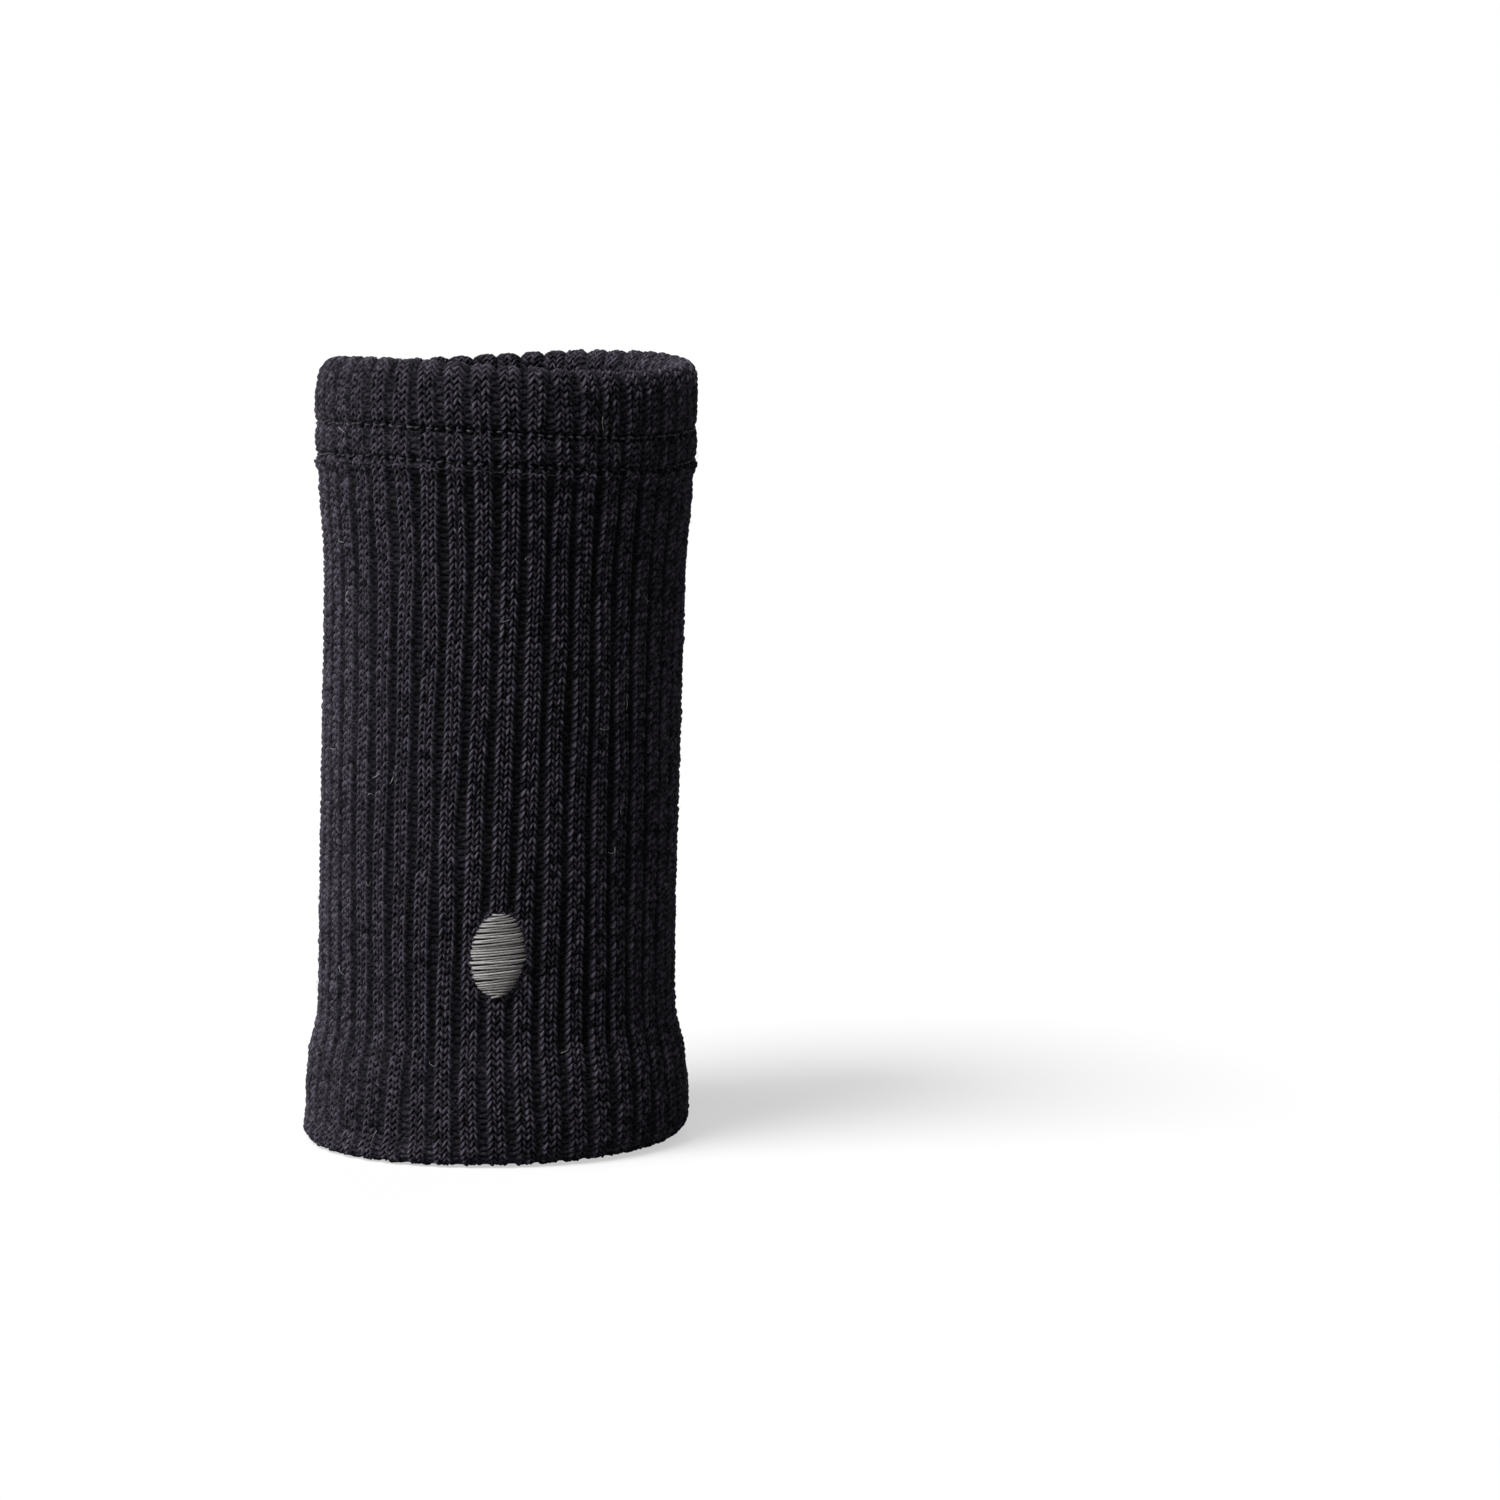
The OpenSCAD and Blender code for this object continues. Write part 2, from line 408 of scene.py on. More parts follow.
def press_motif(angle, height):
    """Where the embroidery presses the cloth in: 1 under the oval, and 0 away from it."""
    half_h = (MOTIF_HIGH[2] - MOTIF_LOW[2]) / 2
    across = np.arctan2(np.sin(angle), np.cos(angle)) * BODY_R / (MOTIF_HIGH[0] + MOTIF_PRESS_MARGIN)
    up = (height - middle_z(MOTIF_LOW, MOTIF_HIGH)) / (half_h + MOTIF_PRESS_MARGIN)
    return smooth_step(-np.hypot(across, up), -1.12, -0.85)


def stitch_tone(phase, leg, on_ridge, ridge, pits, height, jitter, random):
    """Tones of the knit's face: painted shade in its gaps, troughs and needle pits, a painted highlight
    on the legs that face the light, and a little different in each stitch.
    """
    # Painted shade in the gaps between stitches, and between the purl stitches in the troughs
    stitch_gap = (2 * phase - 1) ** 2
    purl_gap = PURL_GAP_SHADE * (2 * ((phase + PURL_SHIFT) % 1) - 1) ** 2
    gap = on_ridge * stitch_gap + (1 - on_ridge) * purl_gap
    # Painted shade that deepens down into the troughs
    hollow = np.clip(1 + TROUGH_SHADE * ridge / TROUGH_DEPTH, TROUGH_LEAST_TONE, 1)
    # Painted highlight on the legs that rise to the right, which face the light from the left, and
    # painted shade on the other legs
    leg_light = 1 + LIT_LEG_HIGHLIGHT * on_ridge * np.where(leg % 2 == 0, 1, -1)
    # Painted shade in the needle pits
    tone = FACE_TONE * (1 - gap) * hollow * leg_light * (1 - PIT_SHADE * pits)
    tone = tone * (1 - DOUBLED_SHADE * doubled(height))
    fleck = random.normal(size=tone.shape) * (TROUGH_FLECK + (RIDGE_FLECK - TROUGH_FLECK) * on_ridge)
    return tone * np.clip(1 + STITCH_TONE_JITTER * jitter + fleck, 0.15, 2.1)


def stitched_face(path, seed):
    """Points and tones of the knit's face along a path."""
    rib, place, angle = rib_columns()
    courses = round(path.length / COURSE)
    row = np.arange(courses * ROWS_PER_COURSE + 1)
    s = row[:, None] * (path.length / row[-1])
    phase = (row[:, None] % ROWS_PER_COURSE) / ROWS_PER_COURSE
    inside = smooth_step(s, 0, 1.5 * COURSE) * smooth_step(path.length - s, 0, 1.5 * COURSE)

    random = np.random.default_rng(seed)
    leg = np.clip(((place + RIDGE_EDGE) / WALE_MIDDLE).astype(int), 0, LEGS - 1)
    course = row // ROWS_PER_COURSE
    jitter, size, slip = (random.normal(size=(RIBS, LEGS, courses + 1))[rib, leg][:, course].T
                          for _ in range(3))
    wale = np.minimum(np.abs(np.abs(place) - WALE_MIDDLE) / WALE_MIDDLE, 1)
    on_ridge = 1 - smooth_step(np.abs(place), RIDGE_EDGE, RIDGE_EDGE + RIDGE_FADE)
    jitter = jitter * on_ridge

    wale_side = rib * RIBS_APART + 0.5 * np.sign(place)
    slide = RIB_SLIP * soft_noise(wale_side, s / 40, 9, 9.0, seed + 3) * on_ridge
    warp = STITCH_SWAY * soft_noise(angle, s / 20, 9, 8.0, seed) + STITCH_SLIP * slip + slide
    s = s + COURSE * (warp - CHEVRON * (wale - 0.5)) * inside
    radius, height, out_r, out_z = path.at(s)
    outside = out_r > 0.5

    stitch = bead(phase) * on_ridge * LEG_RELIEF * (1 + STITCH_SIZE * size)
    purl = bead((phase + PURL_SHIFT) % 1) * (1 - on_ridge) * PURL_RELIEF
    pressed = press_motif(angle, height) * outside
    pits = needle_pits(angle, height) * outside
    unevenness = 1 + RIB_UNEVENNESS * soft_noise(angle, height / 15, 12, 6.0, seed + 1)
    ridge = ribs(place, height) * unevenness * (1 - PRESSED_RIBS * pressed)
    relief = ridge + (stitch + purl + STITCH_JITTER * jitter) * (1 - PRESSED_STITCHES * pressed)
    relief = relief - MOTIF_PRESS * pressed - NEEDLE_PIT * pits
    relief = relief + MESH_ROUGHNESS * random.normal(size=relief.shape)
    drift = RIB_WANDER / BODY_R * soft_noise(rib * RIBS_APART, height / 12, 9, 4.0, seed + 2)
    points = to_xyz(angle + drift, radius + relief * out_r, height + relief * out_z)
    return points, stitch_tone(phase, leg, on_ridge, ridge, pits, height, jitter, random)


def inner_face(path, low, high):
    """Points and tones of the knit's other side, which shows between two heights on the inside."""
    rib, place, angle = rib_columns()
    behind = (place + 1) % 1 - 0.5
    rows = 2 * round(path.length / COURSE) + 1
    s = np.linspace(0, path.length, rows)[:, None]
    radius, height, out_r, out_z = path.at(s)
    phase = (np.arange(rows)[:, None] % 2) / 2
    shown = smooth_step(height, low, low + 1) * smooth_step(-height, -high, 1 - high)
    arch = np.where(phase == 0, -0.5 * LEG_RELIEF, 0.0)
    drift = RIB_WANDER / BODY_R * soft_noise(rib * RIBS_APART, height / 12, 9, 4.0, 23)
    relief = (ridge_profile(behind) + arch) * shown
    points = to_xyz(angle + drift, radius + relief * out_r, height + relief * out_z)
    # Painted shade: the deeper the back's relief, the darker its tone
    tone = BACK_TONE * np.clip(1 + relief / BACK_SHADE_DEPTH, 0, 1)
    return points, np.broadcast_to(tone, relief.shape)


def cloth(name, face, back, seed, shown=(0, 0)):
    """A closed shell of cloth: its stitched face, and its back, which shows between two heights."""
    face_points, face_tone = stitched_face(face, seed)
    back_points, back_tone = inner_face(back, *shown)
    points = np.concatenate([face_points, back_points])
    tone = np.concatenate([face_tone, back_tone])
    return make_mesh(name, points, [grid_faces(*points.shape[:2], True)], tone)


def with_needle_rows(line):
    """The hem's outline, drawn in by its two rows of stitching."""
    pull = sum(np.exp(-np.abs(line[:, 1] - row_z) / ROW_NOTCH_REACH) for row_z in ROW_Z)
    line[:, 0] -= ROW_NOTCH * np.minimum(pull, 1.1)
    return line


def make_tube(material):
    """The body with the outer layer of the cuff and the hem, in one knit."""
    under = CUFF_R - CUFF_EDGE_R
    face = Path(
        straight((WRIST_R, LAYER), (WRIST_R, INNER_EDGE_R)),
        curved(WRIST_R + INNER_EDGE_R, INNER_EDGE_R, INNER_EDGE_R, 180, 270),
        curved(under, CUFF_EDGE_R, CUFF_EDGE_R, 270, 360),
        straight((CUFF_R, CUFF_EDGE_R), (CUFF_R, CUFF_FULL_Z)),
        eased((CUFF_R, CUFF_FULL_Z), (CUFF_R - CUFF_DRAW_IN, CUFF_TOP_Z)),
        eased((CUFF_R - CUFF_DRAW_IN, CUFF_TOP_Z), (BODY_R, CUFF_TAPER_TOP_Z)),
        straight((BODY_R, CUFF_TAPER_TOP_Z), (BODY_R, BODY_TOP_Z - HEM_EASE_H)),
        eased((BODY_R, BODY_TOP_Z - HEM_EASE_H), (BODY_R + HEM_EASE, BODY_TOP_Z)),
        eased((BODY_R + HEM_EASE, BODY_TOP_Z), (HEM_R, HEM_TAPER_TOP_Z)),
        with_needle_rows(straight((HEM_R, HEM_TAPER_TOP_Z), (HEM_R, RIM_Z - RIM_RISE))),
        curved(HEM_MID_R, RIM_Z - RIM_RISE, LAYER, 0, 180, RIM_RISE),
        straight((WRIST_R, RIM_Z - RIM_RISE), (WRIST_R, SEAM_Z)))
    back = Path(
        straight((HEM_MID_R - LAYER_GAP, SEAM_Z), (HEM_MID_R - LAYER_GAP / 2, SEAM_Z + 1.5)),
        straight((HEM_MID_R + LAYER_GAP, SEAM_Z + 1.4), (HEM_MID_R + LAYER_GAP, HEM_TAPER_TOP_Z)),
        eased((HEM_MID_R + LAYER_GAP, HEM_TAPER_TOP_Z), (BODY_IN_R, BODY_TOP_Z)),
        straight((BODY_IN_R, BODY_TOP_Z), (BODY_IN_R, CUFF_TAPER_TOP_Z - 1.5)),
        eased((BODY_IN_R, CUFF_TAPER_TOP_Z - 1.5), (CUFF_R - LAYER, CUFF_TOP_Z + 1)),
        straight((CUFF_R - LAYER, CUFF_TOP_Z + 1), (CUFF_R - LAYER, LAYER + 0.2)))
    piece = cloth("ribbed_tube", face, back, 21, (CUFF_FACING_Z, HEM_FACING_Z))
    return finish_piece(piece, "knit_tube", material)


def make_hem_facing(material):
    """The turned-in end of the cloth inside the hem."""
    edge = 0.6
    face = Path(
        straight((WRIST_R, SEAM_Z), (WRIST_R, HEM_FACING_Z + edge)),
        curved(WRIST_R + edge, HEM_FACING_Z + edge, edge, 180, 270))
    back = Path(
        straight((HEM_MID_R - 0.32, HEM_FACING_Z), (HEM_MID_R - LAYER_GAP, HEM_FACING_Z + 0.9)),
        straight((HEM_MID_R - LAYER_GAP, HEM_FACING_Z + 0.9), (HEM_MID_R - LAYER_GAP, SEAM_Z)))
    piece = cloth("turned_in_hem", face, back, 31)
    return finish_piece(piece, "top_hem_facing", material)


def make_cuff_facing(material):
    """The inner layer of the double cuff."""
    edge = 0.45
    face = Path(
        curved(WRIST_R + edge, CUFF_FACING_Z - edge, edge, 90, 180),
        straight((WRIST_R, CUFF_FACING_Z - edge), (WRIST_R, LAYER)))
    back = Path(
        straight((HEM_MID_R, LAYER), (HEM_MID_R - LAYER_GAP / 2, CUFF_TOP_Z + 1)),
        straight((HEM_MID_R - LAYER_GAP / 2, CUFF_TOP_Z + 1), (HEM_MID_R - 0.7, CUFF_FACING_Z - 1.2)),
        straight((HEM_MID_R - 0.7, CUFF_FACING_Z - 1.2), (HEM_MID_R - 1.2, CUFF_FACING_Z)))
    piece = cloth("inner_cuff", face, back, 41)
    return finish_piece(piece, "bottom_cuff_facing", material)


# ---------------------------------------------------------------- threads

def strands(name, paths, radius, sides=6, up=(0, 0, 1), closed=False, tone=None):
    """Round threads along many paths at once. paths is strands x points x 3, in millimetres."""
    count, length, _ = paths.shape
    if closed:
        tangent = np.roll(paths, -1, axis=1) - np.roll(paths, 1, axis=1)
    else:
        tangent = np.gradient(paths, axis=1)
    beside = np.cross(tangent, np.broadcast_to(up, paths.shape))
    beside /= np.linalg.norm(beside, axis=-1, keepdims=True)
    over = np.cross(beside, tangent)
    over /= np.linalg.norm(over, axis=-1, keepdims=True)
    turn = np.linspace(0, 2 * math.pi, sides, endpoint=False)[:, None]
    radius = np.broadcast_to(radius, (count, length))[..., None, None]
    outward = np.cos(turn) * beside[:, :, None] + np.sin(turn) * over[:, :, None]
    points = paths[:, :, None] + radius * outward
    one = grid_faces(length, sides, closed)
    base = (np.arange(count) * length * sides)[:, None, None]
    groups = [(one + base).reshape(-1, 4)]
    if not closed:
        ring = np.arange(sides)
        ends = np.stack([ring[::-1], ring + (length - 1) * sides])
        groups.append((ends + base).reshape(-1, sides))
    if tone is not None:
        tone = np.broadcast_to(tone[:, None, None], points.shape[:3])
    return make_mesh(name, points, groups, tone)


def make_needle_row(name, node, row_z, proud, tone, seed, material):
    """Dashes of needle thread round the hem, their ends diving into the cloth."""
    random = np.random.default_rng(seed)
    t = np.linspace(-0.5, 0.5, 9)
    shift, size, lift, rise, slope = random.normal(size=(5, NEEDLE_COUNT, 1))
    place = np.arange(NEEDLE_COUNT)[:, None] + 0.07 * shift + t * NEEDLE_DASH * (1 + 0.14 * size)
    angle = place * 2 * math.pi / NEEDLE_COUNT
    radius = HEM_R - ROW_NOTCH + proud + 0.09 * lift - THREAD_DIVE * (2 * np.abs(t)) ** 4
    height = row_z + 0.07 * rise + 0.2 * t * slope
    piece = strands(name, to_xyz(angle, radius, height), NEEDLE_THREAD_R,
                    tone=tone * random.uniform(0.3, 1.7, NEEDLE_COUNT))
    return finish_piece(piece, node, material)


def make_looper(material):
    """The cover between the two needle rows on the inside: two zigzag threads with loops at the rows."""
    per_cycle = 12
    turn = np.arange(NEEDLE_COUNT * per_cycle) / per_cycle
    middle = middle_z(LOOPER_LOW, LOOPER_HIGH)
    reach = (LOOPER_HIGH[2] - LOOPER_LOW[2]) / 2 - 0.3
    paths = []
    for shift in (0.0, 0.5):
        cycle = 2 * math.pi * (turn + shift)
        angle = 2 * math.pi * turn / NEEDLE_COUNT + 0.012 * np.sin(2 * cycle)
        height = middle + reach * np.sin(cycle)
        radius = WRIST_R + 0.2 - 0.08 * np.cos(cycle)
        paths.append(to_xyz(angle, radius, height))
    paths = np.array(paths)
    outward = paths * (1, 1, 0)
    piece = strands("hem_looper_cover", paths, LOOPER_THREAD_R, up=outward, closed=True)
    return finish_piece(piece, "hem_looper_thread", material)


def make_elastic(material):
    """Covered elastic yarns between the two layers of the cuff."""
    turn = np.linspace(0, 2 * math.pi, 720, endpoint=False)
    yarn_r = (ELASTIC_HIGH[0] - HEM_MID_R) / 2
    heights = np.linspace(ELASTIC_LOW[2] + yarn_r, ELASTIC_HIGH[2] - yarn_r, ELASTIC_COUNT)[:, None]
    radius = HEM_MID_R + yarn_r + 0.02 * np.sin(120 * turn)
    paths = to_xyz(turn, radius, heights + 0.05 * np.sin(7 * turn + heights))
    thickness = yarn_r * (0.88 + 0.1 * np.sin(180 * turn))
    piece = strands("cuff_elastic", paths, thickness, sides=8, closed=True)
    return finish_piece(piece, "cuff_elastic_yarns", material)


def make_linking(material):
    """Loops that join the inner cuff's top edge to the tube: two yarns that turn about each other."""
    loops = 2 * RIBS
    turn = np.linspace(0, 2 * math.pi, loops * 10, endpoint=False)
    middle_r = (LINKING_HIGH[0] + WRIST_R + 0.05) / 2
    shift = np.array([[0], [math.pi]])
    radius = middle_r + LINKING_TURN_R * np.cos(loops * turn + shift)
    height = middle_z(LINKING_LOW, LINKING_HIGH) + LINKING_TURN_R * np.sin(loops * turn + shift)
    paths = to_xyz(turn, radius, height)
    piece = strands("cuff_linking", paths, LINKING_THREAD_R, closed=True)
    return finish_piece(piece, "cuff_linking_yarn", material)


def satin_rows(low, high, surface_r, rise, pitch, thread_r, slant, seed, outside=1):
    """Rows of thread to and fro across an upright oval, and the random numbers that they came from.

    The rows bow out by rise, and their ends dive into the cloth.
    """
    random = np.random.default_rng(seed)
    half_w, half_h = high[0], (high[2] - low[2]) / 2
    count = int(2 * (half_h - thread_r) / pitch)
    up = np.linspace(-1, 1, count) * (1 - thread_r / half_h)
    reach = half_w * np.sqrt(1 - np.minimum(np.abs(up), 0.995) ** 2)
    t = np.linspace(-1, 1, 21)
    sway, lift, turn = random.normal(size=(3, count, 1))
    across = t * reach[:, None] * (1 + random.normal(scale=0.03, size=(count, 1)))
    dome = np.sqrt(np.clip(1 - np.abs(t) ** 3.5, 0, 1))
    body = rise * (0.55 + 0.45 * np.sqrt(1 - up[:, None] ** 2)) + 0.04 * lift
    radius = surface_r + outside * (body * dome - THREAD_DIVE * (1 - dome) - thread_r)
    to_and_fro = np.where(np.arange(count) % 2 == 0, 0.2, -0.2)[:, None] * pitch
    height = middle_z(low, high) + up[:, None] * half_h + slant * across + 0.03 * sway
    height = height + t * (to_and_fro + 0.05 * turn)
    return to_xyz(across / surface_r, radius, height), random


def make_satin(material):
    """The embroidered oval, satin-stitched from side to side."""
    paths, random = satin_rows(MOTIF_LOW, MOTIF_HIGH, BODY_R, -MOTIF_LOW[1] - BODY_R, SATIN_PITCH,
                               SATIN_THREAD_R, 0.1, 51)
    piece = strands("embroidered_oval", paths, SATIN_THREAD_R, sides=8,
                    tone=random.uniform(0.25, 0.75, len(paths)))
    return finish_piece(piece, "motif_satin_thread", material)


def make_bobbin(material):
    """Bobbin thread behind the oval, on the inside."""
    paths, random = satin_rows(BOBBIN_LOW, BOBBIN_HIGH, -BOBBIN_HIGH[1], 0.16, BOBBIN_PITCH,
                               BOBBIN_THREAD_R, -0.06, 52, outside=-1)
    piece = strands("embroidery_bobbin", paths, BOBBIN_THREAD_R, tone=random.random(len(paths)))
    return finish_piece(piece, "motif_bobbin_thread", material)


def make_backing(material):
    """Soft patch behind the embroidery: a thin closed oval that follows the inner wall."""
    rings = 34
    half_w, half_h = BACKING_HIGH[0], (BACKING_HIGH[2] - BACKING_LOW[2]) / 2
    share = np.linspace(0.02, 1, rings)
    share = np.concatenate([share, share[::-1]])[:, None]
    layer = np.repeat([0, 1], rings)[:, None]
    turn = np.linspace(0, 2 * math.pi, 120, endpoint=False)
    ragged = 1 + 0.012 * np.sin(9 * turn) + 0.008 * np.sin(23 * turn + 1)
    across = share * half_w * BACKING_TRIM * np.cos(turn) * ragged
    up = share * half_h * BACKING_TRIM * np.sin(turn) * ragged
    wrinkle = 0.05 * np.sin(across * 1.7 + up * 0.6) * np.sin(up * 1.1)
    radius = BODY_IN_R - 0.02 - layer * BACKING_T - np.abs(wrinkle)
    points = to_xyz(-across / BODY_IN_R, radius, middle_z(BACKING_LOW, BACKING_HIGH) + up)
    rows, columns = points.shape[:2]
    ring = np.arange(columns)
    caps = np.stack([ring[::-1], ring + (rows - 1) * columns])
    piece = make_mesh("embroidery_backing", points, [grid_faces(rows, columns, False), caps])
    return finish_piece(piece, "motif_backing", material)


def outer_radius(height):
    """Radius of the cloth's outside at a height."""
    under = CUFF_R - CUFF_EDGE_R
    outline = [(0, under),
               (0.4 * CUFF_EDGE_R, under + 0.8 * CUFF_EDGE_R),
               (CUFF_EDGE_R, CUFF_R),
               (CUFF_FULL_Z, CUFF_R),
               (CUFF_TOP_Z, CUFF_R - CUFF_DRAW_IN),
               (CUFF_TAPER_TOP_Z, BODY_R),
               (BODY_TOP_Z - HEM_EASE_H, BODY_R),
               (BODY_TOP_Z, BODY_R + HEM_EASE),
               (HEM_TAPER_TOP_Z, HEM_R),
               (RIM_Z - RIM_RISE, HEM_R),
               (RIM_Z - 0.4 * RIM_RISE, HEM_R - 0.2 * LAYER),
               (RIM_Z, HEM_MID_R)]
    return np.interp(height, *np.transpose(outline))


def loose_fibres(name, count, length, thickness, lift, seed, material):
    """Short curved fibres that stand off the outside of the cloth."""
    random = np.random.default_rng(seed)
    height = random.uniform(1.5, RIM_Z - 1, count)
    angle = random.uniform(0, 2 * math.pi, count)
    t = np.linspace(0, 1, 6)
    size = random.uniform(*length, (count, 1))
    heading = random.uniform(0, 2 * math.pi, (count, 1)) + t * random.normal(scale=1.5, size=(count, 1))
    along = np.cumsum(np.cos(heading), axis=1) * size / 6
    up = np.cumsum(np.sin(heading), axis=1) * size / 6
    bow = random.uniform(*lift, (count, 1)) * np.sin(math.pi * t * random.uniform(0.5, 1, (count, 1)))
    radius = outer_radius(height)[:, None] - 0.12 + bow
    height = np.clip(height[:, None] + up, 0.3, RIM_Z + 0.3)
    paths = to_xyz(angle[:, None] + along / BODY_R, radius, height)
    piece = strands(name, paths, thickness * (1 - 0.6 * t), sides=3, up=(0.31, 0.17, 0.93))
    piece.data.materials.append(material)
    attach(piece, "root")


# ---------------------------------------------------------------- materials

def shader(name, roughness, sheen=0.0, sheen_roughness=0.5, specular=0.5):
    """A new material with its Principled shader, its nodes and its links."""
    material = bpy.data.materials.new(name)
    material.use_nodes = True
    nodes, links = material.node_tree.nodes, material.node_tree.links
    principled = nodes["Principled BSDF"]
    principled.inputs["Roughness"].default_value = roughness
    principled.inputs["Sheen Weight"].default_value = sheen
    principled.inputs["Sheen Roughness"].default_value = sheen_roughness
    principled.inputs["Specular IOR Level"].default_value = specular
    return material, principled, nodes, links


def noise_of(nodes, links, scale, stretch=(1, 1, 1)):
    """A noise texture in the object's own metres, stretched along its axes."""
    coordinates = nodes.new("ShaderNodeTexCoord")
    mapping = nodes.new("ShaderNodeMapping")
    mapping.inputs["Scale"].default_value = stretch
    noise = nodes.new("ShaderNodeTexNoise")
    noise.inputs["Scale"].default_value = scale
    noise.inputs["Detail"].default_value = 3
    noise.inputs["Roughness"].default_value = 0.65
    links.new(coordinates.outputs["Object"], mapping.inputs["Vector"])
    links.new(mapping.outputs["Vector"], noise.inputs["Vector"])
    return noise


def two_colours(nodes, links, factor, dark, light):
    """A colour ramp from dark to light, driven by a factor."""
    ramp = nodes.new("ShaderNodeValToRGB")
    ramp.color_ramp.elements[0].color = (*dark, 1)
    ramp.color_ramp.elements[1].color = (*light, 1)
    links.new(factor, ramp.inputs["Fac"])
    return ramp


def add_bump(nodes, links, principled, height, strength, distance):
    """Small relief that only the shading shows."""
    bump = nodes.new("ShaderNodeBump")
    bump.inputs["Strength"].default_value = strength
    bump.inputs["Distance"].default_value = distance * MM
    links.new(height, bump.inputs["Height"])
    links.new(bump.outputs["Normal"], principled.inputs["Normal"])


def toned_material(name, dark, light, roughness, grain, bump, contrast, sheen=0.0, specular=0.5,
                   stretch=(1, 1, 1)):
    """A yarn or thread: its tone attribute and fine noise choose between a dark and a light colour."""
    material, principled, nodes, links = shader(name, roughness, sheen, 0.45, specular)
    tone = nodes.new("ShaderNodeAttribute")
    tone.attribute_name = "tone"
    fine = noise_of(nodes, links, grain, stretch)
    blend = nodes.new("ShaderNodeMath")
    blend.operation = "MULTIPLY"
    spread = nodes.new("ShaderNodeMapRange")
    spread.inputs["From Min"].default_value = 0.3
    spread.inputs["From Max"].default_value = 0.7
    spread.inputs["To Min"].default_value = 1 - contrast
    spread.inputs["To Max"].default_value = 1 + contrast
    links.new(fine.outputs["Fac"], spread.inputs["Value"])
    links.new(tone.outputs["Fac"], blend.inputs[0])
    links.new(spread.outputs["Result"], blend.inputs[1])
    ramp = two_colours(nodes, links, blend.outputs["Value"], dark, light)
    links.new(ramp.outputs["Color"], principled.inputs["Base Color"])
    add_bump(nodes, links, principled, fine.outputs["Fac"], *bump)
    return material


def plain_material(name, dark, light, roughness, grain, bump, sheen=0.0):
    """A material whose colour and relief come from noise alone."""
    material, principled, nodes, links = shader(name, roughness, sheen)
    fine = noise_of(nodes, links, grain)
    ramp = two_colours(nodes, links, fine.outputs["Fac"], dark, light)
    links.new(ramp.outputs["Color"], principled.inputs["Base Color"])
    add_bump(nodes, links, principled, fine.outputs["Fac"], *bump)
    return material


# ---------------------------------------------------------------- scene

def add_camera():
    """The camera stands in front of the band, a little above its middle, and looks slightly down."""
    camera = bpy.data.objects.new("camera", bpy.data.cameras.new("camera"))
    camera.data.lens = CAMERA_LENS
    camera.data.sensor_width = CAMERA_SENSOR
    camera.location = CAMERA_AT
    camera.rotation_euler = (math.radians(90 - CAMERA_DOWN), 0, math.radians(-CAMERA_RIGHT))
    bpy.context.scene.collection.objects.link(camera)
    bpy.context.scene.camera = camera


def add_sun(name, azimuth, elevation, strength, angle):
    """A soft sun. Azimuth is measured from the front, towards the band's left (-X)."""
    light = bpy.data.objects.new(name, bpy.data.lights.new(name, "SUN"))
    light.data.energy = strength
    light.data.angle = math.radians(angle)
    light.rotation_euler = (math.radians(90 - elevation), 0, math.radians(-azimuth))
    bpy.context.scene.collection.objects.link(light)


def add_world(fill):
    """White where the camera looks past the floor, and a dim even fill for everything else."""
    world = bpy.data.worlds.new("studio")
    world.use_nodes = True
    bpy.context.scene.world = world
    nodes, links = world.node_tree.nodes, world.node_tree.links
    background = nodes["Background"]
    path = nodes.new("ShaderNodeLightPath")
    strength = nodes.new("ShaderNodeMapRange")
    strength.inputs["To Min"].default_value = fill
    strength.inputs["To Max"].default_value = 1.0
    background.inputs["Color"].default_value = (1, 1, 1, 1)
    links.new(path.outputs["Is Camera Ray"], strength.inputs["Value"])
    links.new(strength.outputs["Result"], background.inputs["Strength"])


def add_floor():
    """A pale round floor that lifts its own brightness where the camera sees it."""
    turn = np.linspace(0, 2 * math.pi, 64, endpoint=False)
    mesh = bpy.data.meshes.new("floor")
    rim = [(FLOOR_R * math.cos(angle), FLOOR_R * math.sin(angle), 0) for angle in turn]
    mesh.from_pydata(rim, [], [range(len(rim))])
    floor = bpy.data.objects.new("floor", mesh)
    bpy.context.scene.collection.objects.link(floor)
    material, principled, nodes, links = shader("pale_floor", 0.9, specular=0.0)
    principled.inputs["Base Color"].default_value = (FLOOR_GREY, FLOOR_GREY, FLOOR_GREY, 1)
    principled.inputs["Emission Color"].default_value = (1, 1, 1, 1)
    path = nodes.new("ShaderNodeLightPath")
    lift = nodes.new("ShaderNodeMath")
    lift.operation = "MULTIPLY"
    lift.inputs[1].default_value = FLOOR_LIFT
    links.new(path.outputs["Is Camera Ray"], lift.inputs[0])
    links.new(lift.outputs["Value"], principled.inputs["Emission Strength"])
    mesh.materials.append(material)


def set_stage():
    """Makes the camera, the lights, the world and the floor."""
    add_camera()
    for sun in SUNS:
        add_sun(*sun)
    add_world(WORLD_FILL)
    add_floor()
    bpy.context.scene.view_settings.view_transform = "Standard"


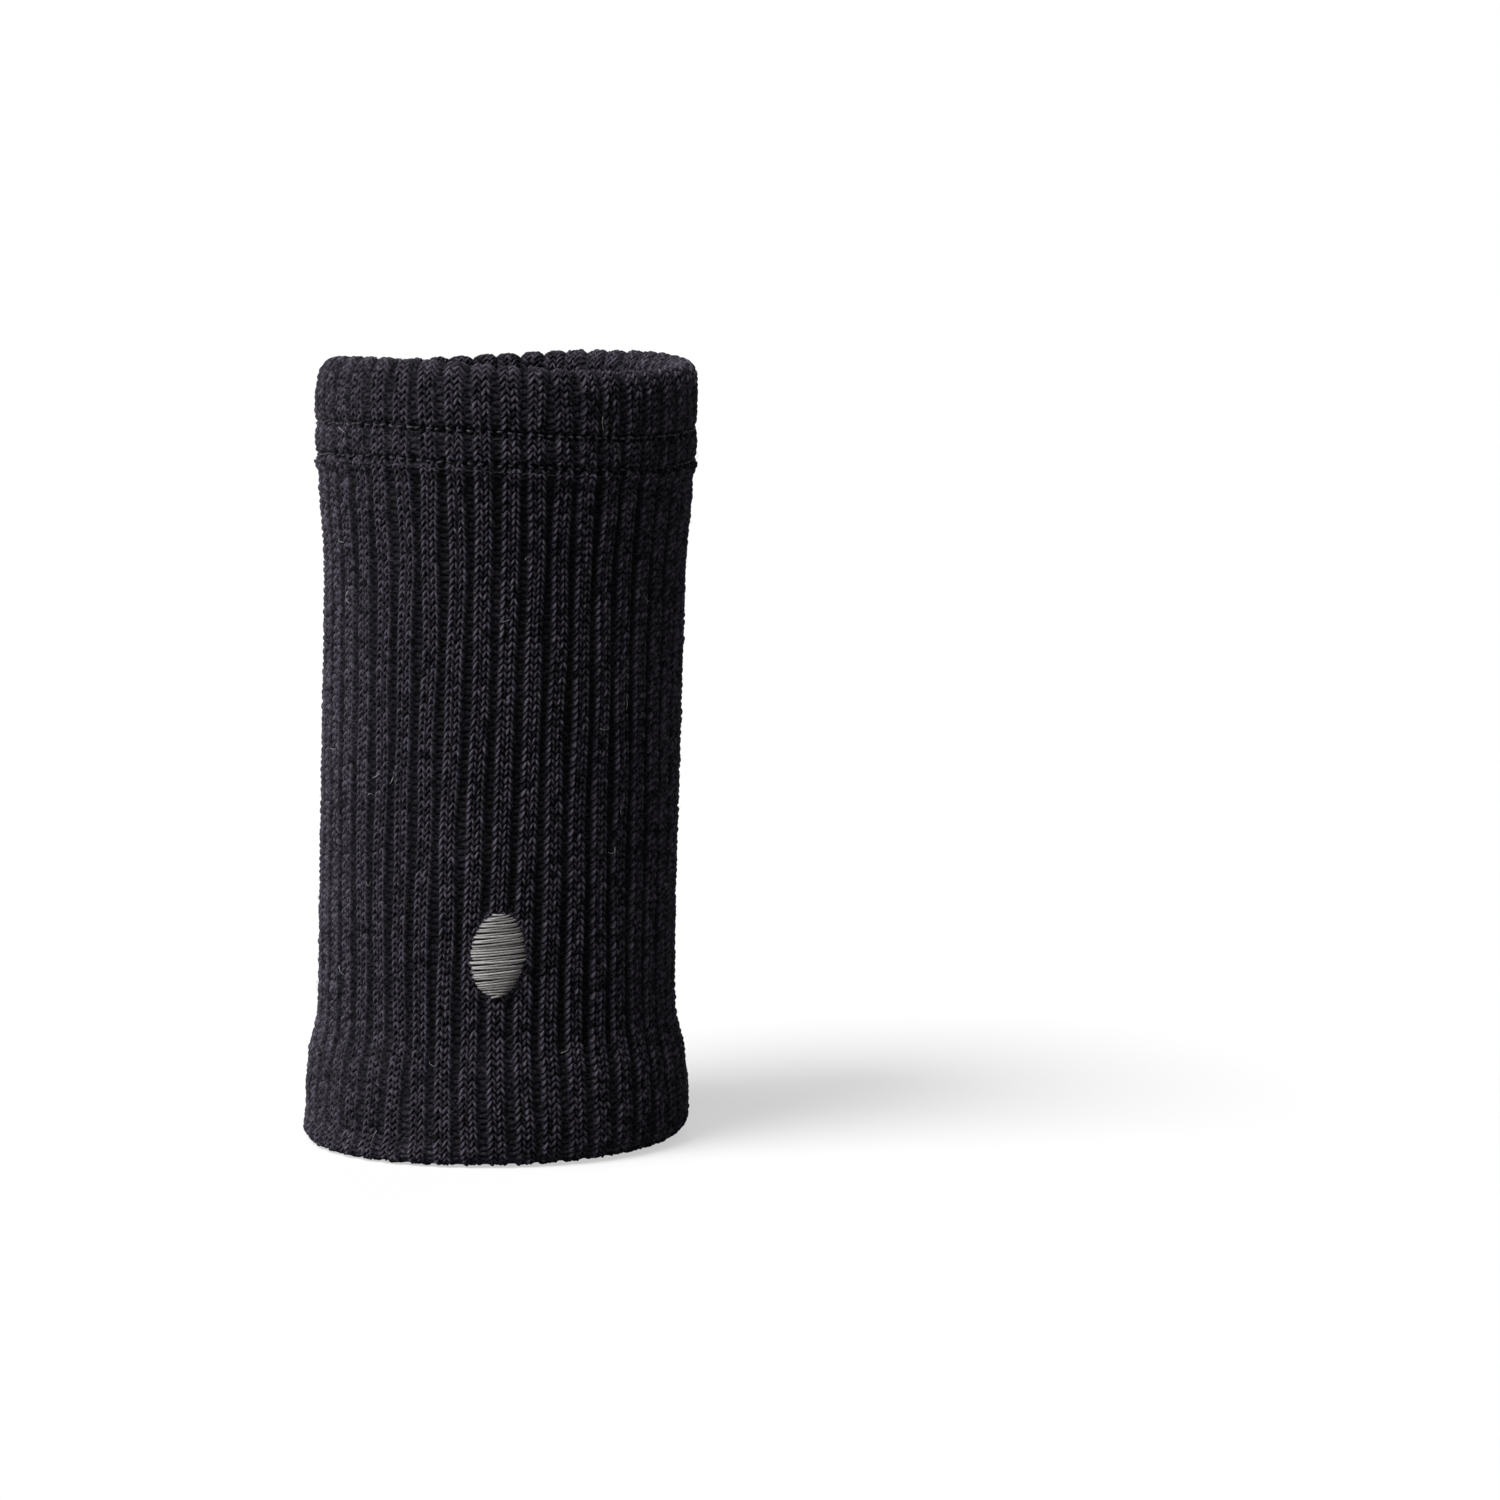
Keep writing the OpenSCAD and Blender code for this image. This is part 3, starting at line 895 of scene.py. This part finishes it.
def make_band():
    """Makes the materials and every piece of the band."""
    knit = toned_material("black_rib_knit", YARN_DARK, (0.070, 0.063, 0.083), **YARN)
    # Painted shade: the inside cloth is the same knit as the outside, given colours a little darker
    lining = toned_material("black_rib_knit_inside", YARN_DARK, (0.065, 0.059, 0.077), **YARN)
    sewing = toned_material("black_needle_thread", (0.004, 0.004, 0.006), (0.045, 0.041, 0.052), 0.6,
                            3000, (0.4, 0.03), 0.5, specular=0.25)
    looper = plain_material("black_looper_thread", (0.01, 0.01, 0.013), (0.045, 0.042, 0.052), 0.65,
                            5000, (0.4, 0.03), sheen=0.1)
    elastic = plain_material("covered_elastic", (0.008, 0.008, 0.009), (0.03, 0.03, 0.033), 0.7, 4000,
                             (0.4, 0.04))
    linking = plain_material("black_linking_yarn", (0.01, 0.01, 0.012), (0.045, 0.043, 0.05), 0.85, 3000,
                             (0.5, 0.05), sheen=0.1)
    satin = toned_material("grey_satin_thread", (0.07, 0.065, 0.064), (0.28, 0.265, 0.262), 0.42, 2500,
                           (0.35, 0.03), 0.5, sheen=0.1, stretch=(0.5, 1, 2))
    bobbin = toned_material("black_bobbin_thread", (0.012, 0.012, 0.015), (0.05, 0.048, 0.055), 0.6,
                            4000, (0.4, 0.03), 0.4)
    backing = plain_material("soft_backing", (0.10, 0.10, 0.105), (0.2, 0.2, 0.205), 0.95, 900,
                             (0.6, 0.08))
    fibre = plain_material("black_fibre", (0.01, 0.01, 0.013), (0.045, 0.043, 0.052), 0.9, 900,
                           (0.2, 0.01))
    lint = plain_material("pale_fibre", (0.2, 0.2, 0.2), (0.5, 0.5, 0.5), 0.9, 900, (0.2, 0.01))

    make_tube(knit)
    make_hem_facing(lining)
    make_cuff_facing(lining)
    make_needle_row("hem_stitches_upper", "hem_needle_thread_upper", UPPER_ROW_Z, 0.02, 0.5, 61, sewing)
    # Painted shade: the lower row, sunk in its groove, gets a darker tone than the upper row of the same
    # thread
    make_needle_row("hem_stitches_lower", "hem_needle_thread_lower", LOWER_ROW_Z, -0.12, 0.3, 62, sewing)
    make_looper(looper)
    make_elastic(elastic)
    make_linking(linking)
    make_satin(satin)
    make_bobbin(bobbin)
    make_backing(backing)
    loose_fibres("knit_fuzz", FIBRE_COUNT, (0.4, 1.2), 0.02, (0.1, 0.45), 71, fibre)
    loose_fibres("knit_lint", LINT_COUNT, (1.0, 3.2), 0.034, (0.2, 0.5), 72, lint)


set_stage()
make_band()
